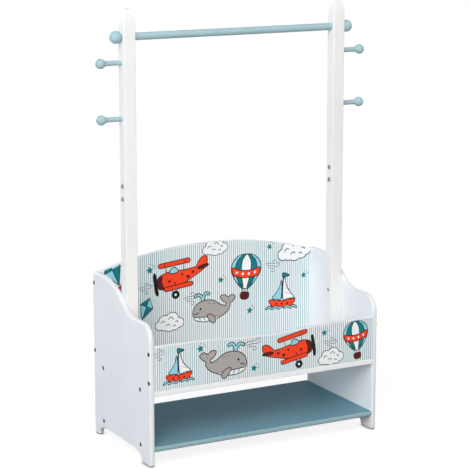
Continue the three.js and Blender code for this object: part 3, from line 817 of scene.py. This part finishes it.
front_print = [
    *placed(sailboat(), -238, 233, 0.8, 2),
    *placed(whale(), -112, 226, 0.95, -3, True),
    *placed(biplane(), 68, 235, 0.88, 8),
    *placed(cloud(), 180, 205, 0.72, 0),
    *placed(balloon(), 252, 238, 0.8, 6),
    *scattered(star(), (-180, 272, 0.9, 10), (-36, 206, 0.85, -12), (160, 268, 0.85, 6)),
    *scattered(breeze(), (-40, 266, 0.85, 5), (176, 240, 0.7, -6), (-292, 270, 0.7, 8)),
]
front_panel = printed_board(
    "front_panel", -HALF_DEPTH, FLOOR_TOP, dipped_top, STATIONS, front_print
)
fit("front_panel", front_panel, "printed_board", printed_foil, board_paint)


# Panel screws
# Sixteen steel screws with a flat head and a hexagon socket, black zinc plated. Each is driven
# through a side panel into the end of a board, and its head sits a little below the paint.
def steel(name, colour, roughness, dulled):
    """Plated steel with fine turning marks and slightly dulled patches."""
    material, start = new_finish(name)
    place = start.node("TexCoord", output="Object")
    patches = place.noise(3.5, 4.0).between(0.4, 0.7)
    marks = place.noise(0.5, 3.0)
    bump = start.node("Bump", {}, {"Strength": 0.25, "Distance": 0.00002, "Height": marks})
    shader = start.node("BsdfPrincipled", {}, {
        "Base Color": (0.4 * patches).blend(tint(*colour), tint(*dulled)),
        "Metallic": 0.92 - 0.12 * patches,
        "Roughness": roughness + 0.2 * patches + 0.08 * (marks - 0.5),
        "Normal": bump,
    })
    start.node("OutputMaterial", {}, {"Surface": shader})
    return material


def socket_head(top, rim, depth):
    """Profile of a flat head's face with its hexagon socket, from the rim inwards."""
    return [
        (rim, top - 0.35), (rim - 0.3, top), (2.9, top), (2.45, top - 0.15, True),
        (2.31, top - 0.4, True), (2.31, top - depth, True), (0.4, top - depth - 0.5),
    ]


dark_steel = steel("black_zinc_steel", (52, 52, 56), roughness=0.42, dulled=(34, 33, 33))
PANEL_SCREW = [(0.7, 0), (3.5, 3), (3.5, 47), (5.15, 48.7), *socket_head(49.6, 5.2, 2.0)]
for side, sign in SIDES.items():
    for board, places in BOARD_SCREWS.items():
        for place, (y, z) in places.items():
            node = f"{side}_{board}_{place}_screw"
            mesh = shell_mesh(node, [turned(PANEL_SCREW, SCREW_START, sign, y, z)])
            fit(node, mesh, "dark_steel", dark_steel)


# Lower posts
# Square hardwood posts on the box floor, painted a warmer white. Two screws through each hold it
# to the side panel, and its upper end is cut back to half its thickness for the lap joint.
POST = 31  # side of the square section
POST_INNER = HALF_WIDTH - POST
LAP_PLANE = HALF_WIDTH - POST / 2
LAP_LOW, LAP_HIGH = 598, 660
POST_ROUNDING = 2.2
JOINT_EASE = 0.6  # rounding of the sawn edges at the joint
HOLE_SIDES = 36  # fineness of the bolt and stud holes
LAP_BOLTS = {"lower": 613.5, "upper": 644.5}  # heights


def post_ring(sign, z, half, keep=None):
    """A square section with rounded corners. keep is the half that stays where it is cut back."""
    ring = []
    centre = half - POST_ROUNDING
    for start in (0, 90, 180, 270):
        corner = math.radians(start + 45)
        for k in range(7):
            angle = math.radians(start + 90 * k / 6)
            u = math.copysign(centre, math.cos(corner)) + POST_ROUNDING * math.cos(angle)
            v = math.copysign(centre, math.sin(corner)) + POST_ROUNDING * math.sin(angle)
            u = min(u, 0) if keep == "inner" else max(u, 0) if keep == "outer" else u
            ring.append((sign * (LAP_PLANE + u), POST_Y + v, z))
    return ring


def fit_post(node, rings, holes):
    piece = fit(node, drilled(shell_mesh(node, [rings]), holes), "post_paint", post_paint)
    ease = piece.modifiers.new("eased edges", "BEVEL")
    ease.width, ease.segments, ease.limit_method = JOINT_EASE * MM, 2, "ANGLE"
    ease.angle_limit = math.radians(50)
    piece.modifiers.move(1, 0)


def lap_holes(sign):
    sleeve = [(4.6, -0.6), (4.6, 15.5)]
    shank = [(3.3, 15), (3.3, 32)]
    return [
        turned(part, POST_INNER, sign, POST_Y, z, HOLE_SIDES)
        for z in LAP_BOLTS.values() for part in (sleeve, shank)
    ]


post_paint = paint(
    "post_satin_paint", (244, 243, 240), (226, 220, 208), roughness=0.42, specular=0.3
)
for side, sign in SIDES.items():
    half = POST / 2
    rings = [
        post_ring(sign, FLOOR_TOP, half), post_ring(sign, LAP_LOW, half),
        post_ring(sign, LAP_LOW, half, "inner"), post_ring(sign, LAP_HIGH, half, "inner"),
    ]
    fit_post(side + "_lower_post", rings, post_screw_holes(sign) + lap_holes(sign))


# Post screws
# Shorter zinc plated screws of the same form, two through each lower post from the inside of the
# rack into the side panel.
zinc_steel = steel(
    "zinc_plated_steel", (188, 190, 194), roughness=0.4, dulled=(132, 130, 128)
)
POST_SCREW = [(0.5, 0), (2.5, 2.5), (2.5, 36.4), (5.0, 38.9), *socket_head(39.6, 5.1, 2.0)]
for side, sign in SIDES.items():
    for place, z in POST_SCREWS.items():
        node = f"{side}_{place}_post_screw"
        mesh = shell_mesh(node, [turned(POST_SCREW, POST_SCREW_START, -sign, POST_Y, z)])
        fit(node, mesh, "dark_steel", zinc_steel)


# Upper posts
# The same hardwood section, lapped over the lower posts from outside. Their tops curve in on all
# four sides to a small flat.
POST_TOP = 1060.5
RAIL_HEIGHT = 995.5
PEGS = {"upper": 936, "lower": 804.5}  # heights
RAIL_STUD_HOLE, PEG_STUD_HOLE = 3.3, 2.8  # radii
# The tapered top: how far in from the post's side, and how far below its top
CAP_BASE, CAP_BELLY, CAP_NECK = (0, 36), (1.0, 14.4), (5.6, 0.8)


def cap_levels():
    """(height, half width) pairs from the start of the tapered top to its flat."""
    base, belly, neck = (
        (POST / 2 - inset, POST_TOP - drop) for inset, drop in (CAP_BASE, CAP_BELLY, CAP_NECK)
    )
    levels = []
    for k in range(13):
        t = k / 12
        width, z = (
            (1 - t) ** 2 * a + 2 * t * (1 - t) * b + t**2 * c for a, b, c in zip(base, belly, neck)
        )
        levels.append((z, width))
    return levels + [(POST_TOP - 0.25, neck[0] - 0.25), (POST_TOP, neck[0] - 0.8)]


for side, sign in SIDES.items():
    half = POST / 2
    rings = [
        post_ring(sign, LAP_LOW, half, "outer"), post_ring(sign, LAP_HIGH, half, "outer"),
        post_ring(sign, LAP_HIGH, half), *[post_ring(sign, z, width) for z, width in cap_levels()],
    ]
    through = [(RAIL_STUD_HOLE, -11), (RAIL_STUD_HOLE, POST + 11)]
    blind = [(PEG_STUD_HOLE, -18), (PEG_STUD_HOLE, 18)]
    holes = lap_holes(sign)
    holes.append(turned(through, POST_INNER, sign, POST_Y, RAIL_HEIGHT, HOLE_SIDES))
    holes += [turned(blind, HALF_WIDTH, sign, POST_Y, z, HOLE_SIDES) for z in PEGS.values()]
    fit_post(side + "_upper_post", rings, holes)


# Lap bolts and sleeve nuts
# Nickel plated steel. Each bolt goes through the lap joint from the outside of the post into a
# sleeve nut, and both have a low domed head with a hexagon socket.
def domed_head(length, under):
    """Profile of a head on a shank of that length, from under the head over the rim inwards."""
    return [
        (under, length), (5.7, length), (6.0, length + 0.3), (6.0, length + 1.0),
        (5.6, length + 1.6), (4.6, length + 2.1), (3.4, length + 2.38), (2.8, length + 2.4),
        (2.4, length + 2.25, True), (2.31, length + 2.05, True), (2.31, length + 1.15, True),
        (0.4, length + 0.9),
    ]


plated_steel = steel(
    "nickel_plated_steel", (146, 147, 150), roughness=0.32, dulled=(100, 98, 96)
)
BOLT_LENGTH, SLEEVE_LENGTH = 26, 15
LAP_BOLT = [(2.4, 0), (3.0, 1), (3.0, BOLT_LENGTH), *domed_head(BOLT_LENGTH, 3.2)]
SLEEVE_NUT = [
    (3.3, SLEEVE_LENGTH - 1), (3.3, 0), (4.3, 0), (4.3, SLEEVE_LENGTH),
    *domed_head(SLEEVE_LENGTH, 4.4),
]
for side, sign in SIDES.items():
    for place, z in LAP_BOLTS.items():
        node = f"{side}_{place}_lap_bolt"
        mesh = shell_mesh(node, [turned(LAP_BOLT, HALF_WIDTH - BOLT_LENGTH, sign, POST_Y, z)])
        fit(node, mesh, "plated_steel", plated_steel)
        node = f"{side}_{place}_sleeve_nut"
        sleeve = turned(SLEEVE_NUT, -POST_INNER - SLEEVE_LENGTH, -sign, POST_Y, z)
        mesh = shell_mesh(node, [sleeve])
        fit(node, mesh, "plated_steel", plated_steel)


# Hanging rail, rail knobs and rail studs
# A turned wooden bar between the posts and a turned ball on the outside of each post, both in the
# shelf's grey blue. A threaded stud through the post joins them.
RAIL_RADIUS, RAIL_LENGTH, RAIL_CHAMFER = 9, 2 * POST_INNER, 0.6
ROUND_SIDES = 64  # fineness of the rail and the knobs
turned_paint = paint(
    "blue_turned_paint", (169, 198, 203), (182, 205, 209), roughness=0.45, specular=0.05
)
RAIL = [
    (RAIL_RADIUS - RAIL_CHAMFER, 0), (RAIL_RADIUS, RAIL_CHAMFER),
    (RAIL_RADIUS, RAIL_LENGTH - RAIL_CHAMFER), (RAIL_RADIUS - RAIL_CHAMFER, RAIL_LENGTH),
]
rail = turned(RAIL, -POST_INNER, 1, POST_Y, RAIL_HEIGHT, ROUND_SIDES)
rail_end = [(RAIL_STUD_HOLE, -11.3), (RAIL_STUD_HOLE, 1)]
stud_holes = [
    turned(rail_end, POST_INNER, sign, POST_Y, RAIL_HEIGHT, HOLE_SIDES) for sign in (-1, 1)
]
rail_mesh = drilled(shell_mesh("hanging_rail", [rail]), stud_holes)
fit("hanging_rail", rail_mesh, "blue_paint", turned_paint)

KNOB_RADIUS, KNOB_SEAT = 15, 12.8  # a ball, and how far its middle is from the flat on the post
knob_turn = math.acos(-KNOB_SEAT / KNOB_RADIUS)
KNOB = [(KNOB_RADIUS * math.sin(knob_turn) - 0.6, 0)]
for k in range(24):
    angle = knob_turn * (1 - k / 24)
    distance = KNOB_SEAT + KNOB_RADIUS * math.cos(angle) + (0.3 if k == 0 else 0)
    KNOB.append((KNOB_RADIUS * math.sin(angle), distance))
for side, sign in SIDES.items():
    knob = turned(KNOB, HALF_WIDTH, sign, POST_Y, RAIL_HEIGHT, ROUND_SIDES)
    knob_end = [(RAIL_STUD_HOLE, -1), (RAIL_STUD_HOLE, 11.3)]
    stud_hole = turned(knob_end, HALF_WIDTH, sign, POST_Y, RAIL_HEIGHT, HOLE_SIDES)
    mesh = drilled(shell_mesh(side + "_rail_knob", [knob]), [stud_hole])
    fit(side + "_rail_knob", mesh, "blue_paint", turned_paint)


def finish_stud(node):
    """A stud is hidden in the wood, so its plain solid stays and only gets its finish."""
    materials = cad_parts[node].data.materials
    materials.clear()
    materials.append(plated_steel)


for side in SIDES:
    finish_stud(side + "_rail_stud")


# Coat pegs and peg studs
# Four turned pegs, a plain shaft that flares into a ball, painted grey blue. A stud holds each
# one square to the outer face of its post.
PEG_RADIUS, BALL_RADIUS, BALL_REACH = 6, 12, 52.5
FLARE_LENGTH = 17.7  # from the shaft's end to the ball's middle
flare_turn = math.radians(131.8)  # where on the ball the flare ends, from the ball's tip
flare_start = Vector((PEG_RADIUS, BALL_REACH - FLARE_LENGTH))
flare_end = Vector((
    BALL_RADIUS * math.sin(flare_turn), BALL_REACH + BALL_RADIUS * math.cos(flare_turn)
))
flare_bend = Vector((PEG_RADIUS, flare_end.y + (flare_end.x - PEG_RADIUS) * math.tan(flare_turn)))
PEG = [(PEG_RADIUS - 0.5, 0), (PEG_RADIUS, 0.5)]
for k in range(9):
    t = k / 8
    PEG.append(tuple((1 - t) ** 2 * flare_start + 2 * t * (1 - t) * flare_bend + t**2 * flare_end))
for k in range(1, 22):
    angle = flare_turn * (1 - k / 22)
    PEG.append((BALL_RADIUS * math.sin(angle), BALL_REACH + BALL_RADIUS * math.cos(angle)))
for side, sign in SIDES.items():
    for place, z in PEGS.items():
        node = f"{side}_{place}_peg"
        mesh = shell_mesh(node, [turned(PEG, HALF_WIDTH, sign, POST_Y, z)])
        peg_end = [(PEG_STUD_HOLE, -1), (PEG_STUD_HOLE, 18.3)]
        stud_hole = turned(peg_end, HALF_WIDTH, sign, POST_Y, z, HOLE_SIDES)
        fit(node, drilled(mesh, [stud_hole]), "blue_paint", turned_paint)
        finish_stud(node + "_stud")


# Studio
# A white floor that runs out of sight and a white surround, lit by a large cool soft box in front
# on the left and by weaker lamps all round. The floor keeps the rack's faint shadow.
def background_rays(start):
    """1 for the rays that show the surround itself: straight, mirrored or through glass."""
    kinds = ("Camera", "Glossy", "Transmission")
    straight, mirrored, through = (
        start.node("LightPath", output=f"Is {kind} Ray") for kind in kinds
    )
    return straight.maths("MINIMUM", straight + mirrored + through, 1.0)


def grey(level):
    return (level, level, level, 1)


floor_shape = bmesh.new()
bmesh.ops.create_grid(floor_shape, x_segments=8, y_segments=8, size=30)
floor_mesh = bpy.data.meshes.new("studio_floor")
floor_shape.to_mesh(floor_mesh)
floor_shape.free()
floor = bpy.data.objects.new("studio_floor", floor_mesh)
floor.location.z = -0.0005  # half a millimetre under the feet
scene.collection.objects.link(floor)
floor_material, start = new_finish("studio_floor")
place = start.node("TexCoord", output="Object")
away = start.node("VectorMath", {"operation": "LENGTH"}, {0: place}, output=1)
# The floor sends back less light close to the rack, and shows as white but for shadow on it
lit_colour = away.between(0.3, 1.6).blend(grey(0.25), grey(0.48))
lit = start.node("BsdfDiffuse", {}, {"Color": lit_colour})
shown = start.node("BsdfDiffuse", {}, {"Color": (0.26, 0.25, 0.25, 1)})
white_floor = away.between(1.0, 4.0).blend(grey(0.86), grey(0.9))
# A painted contact shadow: a thin dark line where a foot touches the floor
open_air = start.node("AmbientOcclusion", {}, {"Distance": 0.02}, output=1).between(0.3, 0.85)
glow_colour = open_air.blend((0.16, 0.16, 0.17, 1), white_floor)
glow = start.node("Emission", {}, {"Color": glow_colour, "Strength": 1.0})
seen = start.node("AddShader", {}, {0: shown, 1: glow})
surface = start.node("MixShader", {}, {0: background_rays(start), 1: lit, 2: seen})
start.node("OutputMaterial", {}, {"Surface": surface})
floor_mesh.materials.append(floor_material)

world = bpy.data.worlds.new("studio")
world.use_nodes = True
world.node_tree.nodes.clear()
start = Wire(world.node_tree)
around = start.node("Background", {}, {"Color": (0.6, 0.8, 1, 1), "Strength": 0.15})
backdrop = start.node("Background", {}, {"Color": (1, 1, 1, 1), "Strength": 1.0})
sky = start.node("MixShader", {}, {0: background_rays(start), 1: around, 2: backdrop})
start.node("OutputWorld", {}, {"Surface": sky})
scene.world = world


def soft_lamp(name, towards, level, spread, colour=(1, 1, 1)):
    """A far lamp, spread degrees wide. A white surface square to it shows as bright as level."""
    lamp = bpy.data.lights.new(name, "SUN")
    lamp.energy, lamp.angle, lamp.color = level * math.pi, math.radians(spread), colour
    light = bpy.data.objects.new(name, lamp)
    light.rotation_euler = Vector(towards).to_track_quat("Z", "Y").to_euler()
    scene.collection.objects.link(light)


def soft_box(name, place, width, level, colour):
    """A square lamp aimed at the rack. A white surface there, square to it, shows about as
    bright as level."""
    lamp = bpy.data.lights.new(name, "AREA")
    lamp.shape, lamp.size, lamp.color = "SQUARE", width, colour
    place, aim = Vector(place), Vector((0, 0, 0.5))
    lamp.energy = level * math.pi**2 * ((place - aim).length_squared + width**2 / math.pi)
    light = bpy.data.objects.new(name, lamp)
    light.location = place
    light.rotation_euler = (place - aim).to_track_quat("Z", "Y").to_euler()
    scene.collection.objects.link(light)


WARM, WARMER, COOL = (1.2, 1.0, 0.8), (1.18, 1.0, 0.7), (0.88, 1.0, 1.18)
soft_box("key_lamp", (-3.4, -3.8, 3.2), width=2.0, level=0.2, colour=WARM)
soft_box("front_left_lamp", (-4.95, -4.75, 4.5), width=8.6, level=0.6, colour=COOL)
soft_lamp("front_lamp", (0, -1, 0.25), level=0.28, spread=150, colour=WARMER)
soft_lamp("right_lamp", (1, 0, 0.06), level=0.5, spread=60)
soft_lamp("rear_lamp", (-0.2, 0.97, 0.08), level=0.48, spread=30)
scene.view_settings.view_transform = "Standard"
